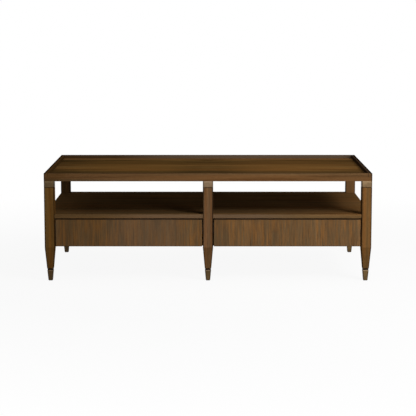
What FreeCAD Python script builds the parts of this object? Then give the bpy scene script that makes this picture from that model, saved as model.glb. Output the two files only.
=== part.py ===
"""Coffee table with a tray top, an open shelf and two drawers, on six tapered legs.

The origin is on the floor under the middle of the table. +X runs to the right of someone who
faces the drawers, +Y to the back and +Z up. Each piece of the table is one labelled object.
"""
import FreeCAD, Part
import math
import operator
import os
from types import SimpleNamespace

import Sketcher
from FreeCAD import Placement, Rotation, Vector

# Every length is in millimetres.
lengths = {
    # Overall
    "table_length": 1372,
    "table_depth": 762,
    "table_height": 457,
    # Tray top: a panel held by its tongue in a mitred lip
    "lip_width": 16,
    "lip_round": 2.5,
    "lip_inner_round": 1,
    "tray_depth": 15,
    "panel_thickness": 19,
    "tongue_length": 6,
    "tongue_thickness": 6,
    "tongue_gap": 0.1,
    # Legs, square with eased corners, which taper from just below the case
    "leg_width": 43,
    "leg_corner": 2,
    "foot_width": 18,
    "taper_drop": 4.5,
    "sleeve_gap": 0.05,
    # Metal foot caps, with the dark neck above each and the pad below it
    "ferrule_height": 45,
    "ferrule_wall": 1.2,
    "ferrule_floor": 2.5,
    "ferrule_bevel": 0.7,
    "neck_height": 8,
    "pad_thickness": 2.5,
    "pad_margin": 1.5,
    # Metal collars at the top of the legs, with a shadow line under each
    "collar_height": 25,
    "collar_wall": 1.5,
    "collar_bevel": 0.7,
    "collar_reveal": 1.5,
    # Threaded studs that hold the legs to the top
    "stud_radius": 4,
    "stud_length": 42,
    "stud_rise": 13,
    "stud_inset": 27,
    # Shelf and the case under it
    "shelf_height": 283.5,
    "shelf_thickness": 18,
    "shelf_inset": 0.5,
    "shelf_bevel": 0.8,
    "notch_gap": 0.2,
    "case_height": 118,
    "side_thickness": 18,
    "back_thickness": 15,
    "divider_thickness": 18,
    "rail_thickness": 15,
    "rail_depth": 40,
    "rail_gap": 2,
    "finger_reach": 16,
    "rail_block_length": 50,
    # Dust panels under the drawers, in a rabbet of each rail and on cleats
    "dust_thickness": 6,
    "dust_rabbet": 8,
    "dust_gap": 0.2,
    "dust_cleat_height": 15,
    # Tenons of the case panels and rails, and the tongues that the shelf sits on
    "tenon_thickness": 6,
    "tenon_length": 12,
    "tenon_shoulder": 14,
    "tenon_gap": 0.1,
    "tenon_play": 0.5,
    "rail_shoulder": 4,
    "shelf_tongue": 8,
    # Drawer fronts
    "front_thickness": 19,
    "front_inset": 1,
    "front_gap": 3.5,
    "front_bevel": 0.8,
    "finger_radius": 5,
    "finger_rise": 9,
    "finger_margin": 60,
    # Drawer boxes
    "board_thickness": 12,
    "box_lift": 5,
    "box_headroom": 10,
    "box_back_gap": 86.5,
    "dovetail_gap": 0.1,
    "bottom_thickness": 6,
    "bottom_gap": 0.1,
    "bottom_play": 0.5,
    "groove_depth": 6,
    "groove_rise": 10,
    # Screws that hold the drawer fronts to the boxes
    "screw_radius": 2,
    "screw_length": 24,
    "head_radius": 4,
    "head_thickness": 1.2,
    "hole_gap": 0.1,
    "hole_play": 0.5,
    # Telescopic slides of folded steel, and the cleats that carry them
    "cleat_margin": 5,
    "slide_width": 12.7,
    "slide_height": 45,
    "slide_setback": 3,
    "slide_end_gap": 37,
    "steel_thickness": 1.2,
    "steel_bend": 2,
    "web_gap": 1.6,
    "outer_setback": 2.3,
    "outer_turn_in": 1.4,
    "middle_setback": 1.7,
    "middle_turn_in": 1,
    "inner_turn_in": 0.8,
    # Ball cages between the members of a slide
    "ball_size": 3.5,
    "ball_gap": 0.05,
    "cage_thickness": 0.8,
    "cage_end_gap": 0.4,
    # How far a cut runs past the faces that it opens
    "overrun": 5,
}
shares = {
    "tail_share": 0.5,
    "tail_slope_share": 0.16,
    "screw_place_share": 0.35,
    "cage_length_share": 0.35,
}
tail_count = 3
# Two places closer than this count as one.
same_place = 1e-4


class Size:
    """A length or a place, with the formula that ties it to the sheet."""

    def __init__(self, formula, value):
        self.formula = formula
        self.value = float(value)

    def __add__(self, other):
        return combined(self, "+", other)

    def __radd__(self, other):
        return combined(other, "+", self)

    def __sub__(self, other):
        return combined(self, "-", other)

    def __rsub__(self, other):
        return combined(other, "-", self)

    def __mul__(self, other):
        return combined(self, "*", other)

    def __rmul__(self, other):
        return combined(other, "*", self)

    def __truediv__(self, other):
        return combined(self, "/", other)

    def __neg__(self):
        return combined(0, "-", self)


def as_size(value):
    return value if isinstance(value, Size) else Size(str(value), value)


def combined(first, sign, second):
    first, second = as_size(first), as_size(second)
    work = {"+": operator.add, "-": operator.sub, "*": operator.mul, "/": operator.truediv}[sign]
    formula = f"({first.formula} {sign} {second.formula})"
    return Size(formula, work(first.value, second.value))


doc = FreeCAD.newDocument("CoffeeTable")
sheet = doc.addObject("Spreadsheet::Sheet", "Sizes")
sheet_values = {**lengths, **shares}
for row, (alias, number) in enumerate(sheet_values.items(), 1):
    sheet.set(f"A{row}", alias)
    sheet.set(f"B{row}", str(number))
    sheet.setAlias(f"B{row}", alias)
doc.recompute()
dim = SimpleNamespace(**{alias: Size(f"Sizes.{alias}", number) for alias, number in sheet_values.items()})
nodes = {}

half_turn = Rotation(Vector(0, 0, 1), 180)
quarter_turn = Rotation(Vector(0, 0, 1), 90)
lying = {"y": Rotation(Vector(1, 0, 0), -90), "z": Rotation()}


# Helpers that bind objects to the sheet

def bind(thing, **values):
    for name, value in values.items():
        thing.setExpression(name, as_size(value).formula)


def place(thing, x=0, y=0, z=0, rotation=None):
    spot = [as_size(value) for value in (x, y, z)]
    base = Vector(*[value.value for value in spot])
    thing.Placement = Placement(base, rotation or Rotation())
    for axis, value in zip("xyz", spot):
        thing.setExpression("Placement.Base." + axis, value.formula)
    return thing


def keep(name, thing):
    """Names the object that holds a finished piece."""
    thing.Label = name
    nodes[name] = thing


def new_body(name):
    return doc.addObject("PartDesign::Body", name)


def origin_feature(body, role):
    return next(item for item in body.Origin.OriginFeatures if item.Role == role)


def new_sketch(body, role, offset=0):
    """A sketch on one of the body's own planes, moved along that plane's normal."""
    sketch = body.newObject("Sketcher::SketchObject", "Sketch")
    sketch.AttachmentSupport = [(origin_feature(body, role), "")]
    sketch.MapMode = "FlatFace"
    sketch.setExpression("AttachmentOffset.Base.z", as_size(offset).formula)
    return sketch


def fix(sketch, kind, edge, end, size):
    """Ties one coordinate of an edge's end, counted from the sketch's origin."""
    index = sketch.addConstraint(Sketcher.Constraint(kind, -1, 1, edge, end, size.value))
    sketch.setExpression(f"Constraints[{index}]", size.formula)


def fix_radius(sketch, edge, size):
    index = sketch.addConstraint(Sketcher.Constraint("Radius", edge, size.value))
    sketch.setExpression(f"Constraints[{index}]", size.formula)


def add_edge(sketch, start, end, bend):
    """A line, or an arc that turns left for a positive bend. Gives its number and its two ends."""
    first = Vector(start[0].value, start[1].value, 0)
    last = Vector(end[0].value, end[1].value, 0)
    if bend is None:
        return sketch.addGeometry(Part.LineSegment(first, last)), 1, 2
    chord = last - first
    radius = abs(bend.value)
    rise = math.sqrt(max(radius**2 - (chord.Length / 2)**2, 0))
    left = Vector(-chord.y, chord.x, 0).normalize() * math.copysign(rise, bend.value)
    centre = (first + last) / 2 + left
    angles = [math.atan2(point.y - centre.y, point.x - centre.x) for point in (first, last)]
    if bend.value < 0:
        angles.reverse()
    circle = Part.Circle(centre, Vector(0, 0, 1), radius)
    edge = sketch.addGeometry(Part.ArcOfCircle(circle, *angles))
    fix_radius(sketch, edge, bend if bend.value > 0 else -bend)
    return (edge, 1, 2) if bend.value > 0 else (edge, 2, 1)


def outline(sketch, corners):
    """Draws a closed outline. A corner is (x, y), or (x, y, bend) where an arc arrives there."""
    points = [(as_size(corner[0]), as_size(corner[1])) for corner in corners]
    edges = []
    for index, corner in enumerate(corners):
        bend = corner[2] if len(corner) > 2 else None
        edges.append(add_edge(sketch, points[index - 1], points[index], bend))
    for index, (edge, start, end) in enumerate(edges):
        before, _, before_end = edges[index - 1]
        sketch.addConstraint(Sketcher.Constraint("Coincident", before, before_end, edge, start))
        fix(sketch, "DistanceX", edge, end, points[index][0])
        fix(sketch, "DistanceY", edge, end, points[index][1])
    return sketch


def rectangle(sketch, left, low, right, high):
    return outline(sketch, [(left, low), (right, low), (right, high), (left, high)])


def eased_square(sketch, width, corner):
    """A square about the sketch's origin, with its corners cut off."""
    side = width / 2
    inner = side - corner
    return outline(sketch, [
        (-inner, -side), (inner, -side), (side, -inner), (side, inner),
        (inner, side), (-inner, side), (-side, inner), (-side, -inner),
    ])


def circle(sketch, x, y, radius):
    centre = Vector(as_size(x).value, as_size(y).value, 0)
    edge = sketch.addGeometry(Part.Circle(centre, Vector(0, 0, 1), radius.value))
    fix_radius(sketch, edge, radius)
    fix(sketch, "DistanceX", edge, 3, as_size(x))
    fix(sketch, "DistanceY", edge, 3, as_size(y))
    return sketch


def extrude(kind, body, sketch, length, reverse=False, side="One side"):
    feature = body.newObject("PartDesign::" + kind, kind)
    feature.Profile = sketch
    feature.SideType = side
    feature.Reversed = reverse
    bind(feature, Length=length)
    return feature


def stack(body, features, pitch, count):
    """Repeats features up the body, a pitch apart."""
    pattern = body.newObject("PartDesign::LinearPattern", "LinearPattern")
    pattern.Originals = features
    pattern.Direction = (origin_feature(body, "Z_Axis"), [""])
    bind(pattern, Length=pitch * (count - 1))
    pattern.Occurrences = count
    body.Tip = pattern


def near(first, second):
    return abs(first - as_size(second).value) < same_place


def lies_at(axis, size):
    """A test for edges that lie in the plane at that place along an axis."""
    def test(edge):
        return all(near(getattr(edge.BoundBox, axis + end), size) for end in ("Min", "Max"))
    return test


def bevel(body, wanted, size):
    """Bevels the edges of the body that a test picks."""
    doc.recompute()
    before = body.Tip
    names = [f"Edge{number}" for number, edge in enumerate(before.Shape.Edges, 1) if wanted(edge)]
    feature = body.newObject("PartDesign::Chamfer", "Chamfer")
    feature.Base = (before, names)
    bind(feature, Size=size)


def block(name, low, high):
    """A box between two corners."""
    box = doc.addObject("Part::Box", name)
    x, y, z = (as_size(b) - as_size(a) for a, b in zip(low, high))
    bind(box, Length=x, Width=y, Height=z)
    return place(box, *low)


def block_about(name, centre, reach):
    """A box that reaches as far either way from its middle."""
    low = [middle - half for middle, half in zip(centre, reach)]
    high = [middle + half for middle, half in zip(centre, reach)]
    return block(name, low, high)


def rod(name, radius, length, centre, axis):
    """A cylinder on its middle point, along one axis."""
    cylinder = doc.addObject("Part::Cylinder", name)
    bind(cylinder, Radius=radius, Height=length)
    spot = dict(zip("xyz", centre))
    spot[axis] = spot[axis] - length / 2
    return place(cylinder, spot["x"], spot["y"], spot["z"], lying[axis])


def tapered(name, x, y, levels):
    """A square bar with eased corners, through a (height, width, corner) at each of its levels."""
    bar = doc.addObject("Part::Loft", name)
    sections = []
    for number, (height, width, corner) in enumerate(levels):
        sketch = place(doc.addObject("Sketcher::SketchObject", f"{name}_section_{number}"), x, y, height)
        sections.append(eased_square(sketch, width, corner))
    bar.Sections = sections
    bar.Solid = True
    bar.Ruled = True
    bar.Linearize = True
    return bar


def joined(name, things):
    fuse = doc.addObject("Part::MultiFuse", name)
    fuse.Shapes = list(things)
    fuse.Refine = True
    return fuse


def group(name, things):
    compound = doc.addObject("Part::Compound", name)
    compound.Links = list(things)
    return compound


def cut_from(name, blank, holes):
    """What is left of a blank once its holes are made."""
    cut = doc.addObject("Part::Cut", name)
    cut.Base = blank
    cut.Tool = group(name + "_holes", holes)
    return cut


# Places that several pieces share

half_length = dim.table_length / 2
half_depth = dim.table_depth / 2
half_leg = dim.leg_width / 2
lip_height = dim.tray_depth + dim.panel_thickness
top_underside = dim.table_height - lip_height
leg_x = half_length - half_leg
leg_y = half_depth - half_leg
inner_x = half_length - dim.leg_width
inner_y = half_depth - dim.leg_width
bay_width = inner_x - half_leg
bay_x = (inner_x + half_leg) / 2
shelf_underside = dim.shelf_height - dim.shelf_thickness
case_base = shelf_underside - dim.case_height
taper_height = case_base - dim.taper_drop
side_middle = half_length - dim.shelf_inset - dim.side_thickness / 2
back_middle = half_depth - dim.shelf_inset - dim.back_thickness / 2
case_inner = dim.divider_thickness / 2
case_outer = side_middle - dim.side_thickness / 2
front_face = dim.front_inset - half_depth
front_back = front_face + dim.front_thickness
rail_front = front_back + dim.rail_gap
rail_base = case_base + dim.finger_reach
rail_middle = rail_base + dim.rail_thickness / 2
box_base = rail_base + dim.rail_thickness + dim.box_lift
box_height = shelf_underside - dim.box_headroom - box_base
box_width = bay_width - 2 * dim.slide_width
box_depth = back_middle - dim.back_thickness / 2 - dim.box_back_gap - front_back
box_middle = front_back + box_depth / 2
slide_length = box_depth - dim.slide_setback - dim.slide_end_gap
slide_middle = front_back + dim.slide_setback + slide_length / 2
slide_level = box_base + box_height / 2
row_places = {"front": -leg_y, "back": leg_y}
column_places = {"left": -leg_x, "centre": 0 * leg_x, "right": leg_x}
sides = {"left": -1, "right": 1}


# Mortises and grooves, cut from the legs and the shelf where the case joins them

mortise_depth = dim.tenon_length + dim.tenon_play
mortise_half = dim.tenon_thickness / 2 + dim.tenon_gap
case_middle = case_base + dim.case_height / 2
mortise_rise = dim.case_height / 2 - dim.tenon_shoulder + dim.tenon_gap
rail_tenon_start = rail_front + dim.rail_shoulder
rail_tenon_end = -inner_y - dim.rail_shoulder
rail_mortise_half = (rail_tenon_end - rail_tenon_start) / 2 + dim.tenon_gap
rail_mortise_y = (rail_tenon_start + rail_tenon_end) / 2
groove_rise = dim.shelf_tongue + dim.tenon_play

mortises = {f"{row}_{column}": [] for row in row_places for column in column_places}
panel_places = {"left": -side_middle, "centre": column_places["centre"], "right": side_middle}
for column, x in panel_places.items():
    for row, y in (("front", -inner_y), ("back", inner_y)):
        mortises[f"{row}_{column}"].append(block_about(
            f"panel_mortise_{row}_{column}", (x, y, case_middle),
            (mortise_half, mortise_depth, mortise_rise)))
for side, sign in sides.items():
    for column, x in ((side, sign * inner_x), ("centre", sign * half_leg)):
        mortises[f"back_{column}"].append(block_about(
            f"back_mortise_{side}_{column}", (x, back_middle, case_middle),
            (mortise_depth, mortise_half, mortise_rise)))
        mortises[f"front_{column}"].append(block_about(
            f"rail_mortise_{side}_{column}", (x, rail_mortise_y, rail_middle),
            (mortise_depth, rail_mortise_half, mortise_half)))
grooves = []
for column, x in panel_places.items():
    grooves.append(block_about(f"shelf_groove_{column}", (x, 0 * inner_y, shelf_underside),
                               (mortise_half, inner_y, groove_rise)))
for side, sign in sides.items():
    grooves.append(block_about(f"shelf_back_groove_{side}", (sign * bay_x, back_middle, shelf_underside),
                               (bay_width / 2, mortise_half, groove_rise)))


# Legs with their collars, foot caps, pads and studs. All but the studs are eased squares in section.

def inset_corner(wall):
    """The corner cut of a square, after its sides have moved in by a wall."""
    return dim.leg_corner - (2 - math.sqrt(2)) * wall


def taper_width(height):
    """Width of the leg at a height below the start of its taper."""
    return dim.foot_width + (dim.leg_width - dim.foot_width) * height / taper_height


def taper_section(height, inset=0):
    """The tapered leg's section at a height, with its sides moved in."""
    return height, taper_width(height) - 2 * as_size(inset), inset_corner(inset)


def post_section(height, inset=0):
    """The section above the taper at a height, with its sides moved in."""
    return height, dim.leg_width - 2 * as_size(inset), inset_corner(inset)


neck_top = dim.ferrule_height + dim.neck_height
collar_base = top_underside - dim.collar_height
post_top = collar_base - dim.collar_reveal
cap_floor = dim.pad_thickness + dim.ferrule_floor


def leg_blank(name, x, y):
    core = dim.ferrule_wall + dim.sleeve_gap
    foot = [taper_section(cap_floor + dim.sleeve_gap, core), taper_section(neck_top, core)]
    post = [taper_section(neck_top), post_section(taper_height), post_section(post_top)]
    tenon = dim.collar_wall + dim.sleeve_gap
    head = [post_section(post_top, tenon), post_section(top_underside, tenon)]
    stretches = {"foot": foot, "post": post, "head": head}
    return joined(name, [tapered(f"{name}_{part}", x, y, levels) for part, levels in stretches.items()])


def collar(name, x, y):
    edge = dim.collar_bevel
    shell = tapered(name + "_shell", x, y, [
        post_section(collar_base, edge), post_section(collar_base + edge),
        post_section(top_underside - edge), post_section(top_underside, edge),
    ])
    bore = tapered(name + "_bore", x, y, [
        post_section(collar_base - dim.overrun, dim.collar_wall),
        post_section(top_underside + dim.overrun, dim.collar_wall),
    ])
    return cut_from(name, shell, [bore])


def ferrule(name, x, y):
    edge = dim.ferrule_bevel
    shell = tapered(name + "_shell", x, y, [
        taper_section(dim.pad_thickness), taper_section(dim.ferrule_height - edge),
        taper_section(dim.ferrule_height, edge),
    ])
    cavity = tapered(name + "_cavity", x, y, [
        taper_section(cap_floor, dim.ferrule_wall),
        taper_section(dim.ferrule_height + dim.overrun, dim.ferrule_wall),
    ])
    return cut_from(name, shell, [cavity])


def pad(name, x, y):
    base = taper_section(dim.pad_thickness, dim.pad_margin)
    return tapered(name, x, y, [(as_size(0), *base[1:]), base])


pads, studs, stud_holes = [], [], []
for row, y in row_places.items():
    for column, x in column_places.items():
        key = f"{row}_{column}"
        stud_x = x if column == "centre" else sides[column] * (half_length - dim.stud_inset)
        stud_y = half_depth - dim.stud_inset if row == "back" else dim.stud_inset - half_depth
        middle = (stud_x, stud_y, top_underside + dim.stud_rise - dim.stud_length / 2)
        studs.append(rod(f"stud_{key}", dim.stud_radius, dim.stud_length, middle, "z"))
        hole_length = dim.stud_length + 2 * dim.hole_play
        stud_hole = rod(f"stud_hole_{key}", dim.stud_radius + dim.hole_gap, hole_length, middle, "z")
        stud_holes.append(stud_hole)
        blank = leg_blank(f"leg_blank_{key}", x, y)
        keep(f"leg_{key}", cut_from(f"leg_{key}", blank, mortises[key] + [stud_hole]))
        keep(f"collar_{key}", collar(f"collar_{key}", x, y))
        keep(f"ferrule_{key}", ferrule(f"ferrule_{key}", x, y))
        pads.append(pad(f"pad_{key}", x, y))
keep("foot_pads", group("foot_pads", pads))
keep("top_studs", group("top_studs", studs))


# Tray top

tongue_base = (dim.panel_thickness - dim.tongue_thickness) / 2


def lip(name, length):
    """A lip moulding with its outer face on y = 0 and its ends mitred, grooved for the panel."""
    body = new_body(name)
    width, outer, inner = dim.lip_width, dim.lip_round, dim.lip_inner_round
    groove = width - dim.tongue_length - dim.tongue_gap
    groove_low = tongue_base - dim.tongue_gap
    groove_high = tongue_base + dim.tongue_thickness + dim.tongue_gap
    profile = new_sketch(body, "YZ_Plane")
    outline(profile, [
        (0, 0),
        (width, 0),
        (width, groove_low),
        (groove, groove_low),
        (groove, groove_high),
        (width, groove_high),
        (width, lip_height - inner),
        (width - inner, lip_height, inner),
        (outer, lip_height),
        (0, lip_height - outer, outer),
    ])
    extrude("Pad", body, profile, length, side="Symmetric")
    mitres = new_sketch(body, "XY_Plane", -dim.overrun)
    far, past = length / 2 + dim.overrun, width + dim.overrun
    for sign in (-1, 1):
        outline(mitres, [
            (sign * far, -dim.overrun),
            (sign * far, past),
            (sign * (length / 2 - past), past),
        ])
    extrude("Pocket", body, mitres, lip_height + 2 * dim.overrun, reverse=True)
    return body


keep("lip_front", place(lip("lip_front", dim.table_length), 0, -half_depth, top_underside))
keep("lip_back", place(lip("lip_back", dim.table_length), 0, half_depth, top_underside, half_turn))
keep("lip_right", place(lip("lip_right", dim.table_depth), half_length, 0, top_underside, quarter_turn))
keep("lip_left", place(lip("lip_left", dim.table_depth), -half_length, 0, top_underside,
                       quarter_turn.inverted()))

panel_x = half_length - dim.lip_width - dim.tongue_gap
panel_y = half_depth - dim.lip_width - dim.tongue_gap
tongue_x, tongue_y = panel_x + dim.tongue_length, panel_y + dim.tongue_length
panel = new_body("top_panel_blank")
board = rectangle(new_sketch(panel, "XY_Plane"), -panel_x, -panel_y, panel_x, panel_y)
extrude("Pad", panel, board, dim.panel_thickness)
tongue = rectangle(new_sketch(panel, "XY_Plane", tongue_base), -tongue_x, -tongue_y, tongue_x, tongue_y)
extrude("Pad", panel, tongue, dim.tongue_thickness)
place(panel, 0, 0, top_underside)
keep("top_panel", cut_from("top_panel", panel, stud_holes))


# Shelf, notched round the legs and grooved for the case

def shelf_blank(name):
    body = new_body(name)
    far_x, far_y = half_length - dim.shelf_inset, half_depth - dim.shelf_inset
    notch_x, notch_y = inner_x - dim.notch_gap, inner_y - dim.notch_gap
    post_x = half_leg + dim.notch_gap
    corners = []
    for side in (1, -1):
        corners += [
            (-side * notch_x, -side * far_y), (-side * post_x, -side * far_y),
            (-side * post_x, -side * notch_y), (side * post_x, -side * notch_y),
            (side * post_x, -side * far_y), (side * notch_x, -side * far_y),
            (side * notch_x, -side * notch_y), (side * far_x, -side * notch_y),
            (side * far_x, side * notch_y), (side * notch_x, side * notch_y),
        ]
    profile = outline(new_sketch(body, "XY_Plane", shelf_underside), corners)
    extrude("Pad", body, profile, dim.shelf_thickness)

    def shown(edge):
        outer = [lies_at("X", -far_x), lies_at("X", far_x), lies_at("Y", -far_y), lies_at("Y", far_y)]
        return lies_at("Z", dim.shelf_height)(edge) and any(test(edge) for test in outer)

    bevel(body, shown, dim.shelf_bevel)
    return body


keep("shelf", cut_from("shelf", shelf_blank("shelf_blank"), grooves))


# Case panels and the rails under the drawers, with their tenons

def case_panel(name, length, thickness):
    """A panel along X about y = 0, with a tenon at each end and a tongue along its top."""
    body = new_body(name)
    end, far = length / 2, length / 2 + dim.tenon_length
    board = rectangle(new_sketch(body, "XZ_Plane"), -end, 0, end, dim.case_height)
    extrude("Pad", body, board, thickness, side="Symmetric")
    low, high = dim.tenon_shoulder, dim.case_height - dim.tenon_shoulder
    crest = dim.case_height + dim.shelf_tongue
    tenons = new_sketch(body, "XZ_Plane")
    outline(tenons, [(-far, low), (far, low), (far, high), (end, high),
                     (end, crest), (-end, crest), (-end, high), (-far, high)])
    extrude("Pad", body, tenons, dim.tenon_thickness, side="Symmetric")
    return body


def front_rail(name):
    """A rail along X with its front edge on y = 0, and a tenon and a block at each end."""
    body = new_body(name)
    end, far = bay_width / 2, bay_width / 2 + dim.tenon_length
    board = rectangle(new_sketch(body, "XY_Plane"), -end, 0, end, dim.rail_depth)
    extrude("Pad", body, board, dim.rail_thickness, side="Symmetric")
    tenons = new_sketch(body, "XY_Plane")
    rectangle(tenons, -far, dim.rail_shoulder, far, rail_tenon_end - rail_front)
    extrude("Pad", body, tenons, dim.tenon_thickness, side="Symmetric")
    half, inner = dim.rail_thickness / 2, end - dim.rail_block_length
    blocks = new_sketch(body, "XZ_Plane")
    rectangle(blocks, -end, -half - dim.finger_reach, -inner, -half)
    rectangle(blocks, inner, -half - dim.finger_reach, end, -half)
    extrude("Pad", body, blocks, dim.rail_depth, reverse=True)
    rabbet = new_sketch(body, "YZ_Plane")
    rectangle(rabbet, dim.rail_depth - dim.dust_rabbet, half - dim.dust_thickness,
              dim.rail_depth + dim.overrun, half + dim.overrun)
    extrude("Pocket", body, rabbet, 2 * far, side="Symmetric")
    return body


keep("case_divider", place(case_panel("case_divider", 2 * inner_y, dim.divider_thickness),
                           0, 0, case_base, quarter_turn))
for side, sign in sides.items():
    keep(f"case_side_{side}", place(case_panel(f"case_side_{side}", 2 * inner_y, dim.side_thickness),
                                    sign * side_middle, 0, case_base, quarter_turn))
    keep(f"case_back_{side}", place(case_panel(f"case_back_{side}", bay_width, dim.back_thickness),
                                    sign * bay_x, back_middle, case_base))
    keep(f"front_rail_{side}", place(front_rail(f"front_rail_{side}"),
                                     sign * bay_x, rail_front, rail_middle))

dust_panels = []
dust_front = rail_front + dim.rail_depth - dim.dust_rabbet + dim.dust_gap
dust_back = inner_y - dim.dust_gap
dust_top = rail_base + dim.rail_thickness
for side, sign in sides.items():
    centre = (sign * (case_inner + case_outer) / 2, (dust_front + dust_back) / 2,
              dust_top - dim.dust_thickness / 2)
    reach = ((case_outer - case_inner) / 2 - dim.dust_gap, (dust_back - dust_front) / 2,
             dim.dust_thickness / 2)
    dust_panels.append(block_about(f"dust_panel_{side}", centre, reach))
keep("dust_panels", group("dust_panels", dust_panels))


# Telescopic slides. Every member and ball cage is a channel with its web on x = 0.

outer_reach = dim.slide_width - dim.outer_setback
middle_start = dim.steel_thickness + dim.web_gap
middle_end = dim.slide_width - dim.middle_setback
inner_start = middle_start + dim.steel_thickness + dim.web_gap
cage_inset = (dim.web_gap - dim.cage_thickness) / 2
ball_room = dim.ball_size + 2 * dim.ball_gap
outer_half = dim.slide_height / 2
middle_half = outer_half - dim.steel_thickness - ball_room
inner_half = middle_half - dim.steel_thickness - ball_room


def folded_member(name, reach, half_height, turn_in):
    """A folded steel channel with its free edges turned in."""
    body = new_body(name)
    wall, bend = dim.steel_thickness, dim.steel_bend
    inside, lip_end = half_height - wall, half_height - wall - turn_in
    profile = new_sketch(body, "XZ_Plane")
    outline(profile, [
        (0, bend - half_height),
        (bend, -half_height, bend),
        (reach, -half_height),
        (reach, -lip_end),
        (reach - wall, -lip_end),
        (reach - wall, -inside),
        (bend, -inside),
        (wall, bend - half_height, wall - bend),
        (wall, half_height - bend),
        (bend, inside, wall - bend),
        (reach - wall, inside),
        (reach - wall, lip_end),
        (reach, lip_end),
        (reach, half_height),
        (bend, half_height),
        (0, half_height - bend, bend),
    ])
    extrude("Pad", body, profile, slide_length, side="Symmetric")
    return body


def ball_cage(name, reach, member_half):
    """A ball cage inside a member, whose two edges are as thick as the balls that they hold."""
    body = new_body(name)
    wall, corner = dim.cage_thickness, dim.steel_bend - dim.steel_thickness
    high = member_half - dim.steel_thickness - dim.ball_gap
    low = high - dim.ball_size
    profile = new_sketch(body, "XZ_Plane")
    outline(profile, [
        (0, corner - high), (corner, -high), (reach, -high), (reach, -low),
        (wall, -low), (wall, low),
        (reach, low), (reach, high), (corner, high), (0, high - corner),
    ])
    extrude("Pad", body, profile, slide_length * dim.cage_length_share, side="Symmetric")
    return body


def telescopic_slide(name, x, way):
    """One slide whose fixed web lies at x and which opens one way. Gives its pieces by kind."""
    outer_cage_start = dim.steel_thickness + cage_inset
    inner_cage_start = middle_start + dim.steel_thickness + cage_inset
    outer_cage_end = outer_reach - dim.steel_thickness - dim.cage_end_gap
    inner_cage_end = middle_end - dim.steel_thickness - dim.cage_end_gap
    pieces = {
        "slide_outer": (folded_member(name + "_outer", outer_reach, outer_half, dim.outer_turn_in),
                        0, way),
        "slide_middle": (folded_member(name + "_middle", middle_end - middle_start, middle_half,
                                       dim.middle_turn_in), middle_start, way),
        "slide_inner": (folded_member(name + "_inner", dim.slide_width - inner_start, inner_half,
                                      dim.inner_turn_in), dim.slide_width, -way),
        "outer_ball_cages": (ball_cage(name + "_outer_cage", outer_cage_end - outer_cage_start, outer_half),
                             outer_cage_start, way),
        "inner_ball_cages": (ball_cage(name + "_inner_cage", inner_cage_end - inner_cage_start, middle_half),
                             inner_cage_start, way),
    }
    for piece, start, facing in pieces.values():
        place(piece, x + way * start, slide_middle, slide_level, half_turn if facing < 0 else None)
    return {kind: piece for kind, (piece, _, _) in pieces.items()}


for side, sign in sides.items():
    left = telescopic_slide(f"{side}_drawer_left_slide", sign * bay_x - bay_width / 2, 1)
    right = telescopic_slide(f"{side}_drawer_right_slide", sign * bay_x + bay_width / 2, -1)
    for kind in left:
        keep(f"{side}_{kind}", group(f"{side}_{kind}", [left[kind], right[kind]]))
    cleats = []
    cleat_levels = {
        "slide": (slide_level, dim.slide_height / 2 + dim.cleat_margin),
        "dust": (dust_top - dim.dust_thickness - dim.dust_cleat_height / 2, dim.dust_cleat_height / 2),
    }
    for part, near_x, far_x in (("outer", inner_x, case_outer), ("inner", case_inner, half_leg)):
        for kind, (level, half_height) in cleat_levels.items():
            middle = (sign * (near_x + far_x) / 2, 0 * inner_y, level)
            reach = ((far_x - near_x) / 2, inner_y, half_height)
            cleats.append(block_about(f"{side}_{part}_{kind}_cleat", middle, reach))
    keep(f"{side}_bay_cleats", group(f"{side}_bay_cleats", cleats))


# Drawers: a front, and a box with through dovetails at its corners

tail_pitch = box_height / tail_count
narrow_half = tail_pitch * dim.tail_share / 2
wide_half = narrow_half + dim.board_thickness * dim.tail_slope_share
groove_top = dim.groove_rise + dim.bottom_thickness + 2 * dim.bottom_gap
groove_stop = dim.board_thickness - dim.groove_depth


def box_side(name):
    """A side board with tails at both ends. Its outer face is on x = 0 and its middle on y = 0."""
    body = new_body(name)
    end, shoulder = box_depth / 2, box_depth / 2 - dim.board_thickness
    board = rectangle(new_sketch(body, "YZ_Plane"), -shoulder, 0, shoulder, box_height)
    extrude("Pad", body, board, dim.board_thickness)
    tails = new_sketch(body, "YZ_Plane")
    level = tail_pitch / 2
    for sign in (-1, 1):
        outline(tails, [
            (sign * shoulder, level - narrow_half), (sign * end, level - wide_half),
            (sign * end, level + wide_half), (sign * shoulder, level + narrow_half),
        ])
    tail = extrude("Pad", body, tails, dim.board_thickness)
    stack(body, [tail], tail_pitch, tail_count)
    groove = new_sketch(body, "YZ_Plane", dim.board_thickness)
    rectangle(groove, groove_stop - end, dim.groove_rise, end - groove_stop, groove_top)
    extrude("Pocket", body, groove, dim.groove_depth)
    return body


def box_end(name):
    """A front or back board with sockets for the tails. Its outer face is on y = 0."""
    body = new_body(name)
    end = box_width / 2
    board = rectangle(new_sketch(body, "XZ_Plane"), -end, 0, end, box_height)
    extrude("Pad", body, board, dim.board_thickness, reverse=True)
    level = tail_pitch / 2
    past = dim.overrun * dim.tail_slope_share
    wide, narrow = wide_half + dim.dovetail_gap + past, narrow_half + dim.dovetail_gap - past
    outside, inside = -dim.overrun, dim.board_thickness + dim.overrun
    depth = dim.board_thickness + dim.dovetail_gap
    sockets = []
    for sign in (-1, 1):
        sketch = new_sketch(body, "YZ_Plane", sign * end)
        outline(sketch, [
            (inside, level - narrow), (inside, level + narrow),
            (outside, level + wide), (outside, level - wide),
        ])
        sockets.append(extrude("Pocket", body, sketch, depth, reverse=sign < 0))
    stack(body, sockets, tail_pitch, tail_count)
    groove = new_sketch(body, "XZ_Plane", -dim.board_thickness)
    rectangle(groove, groove_stop - end, dim.groove_rise, end - groove_stop, groove_top)
    extrude("Pocket", body, groove, dim.groove_depth, reverse=True)
    return body


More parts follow.
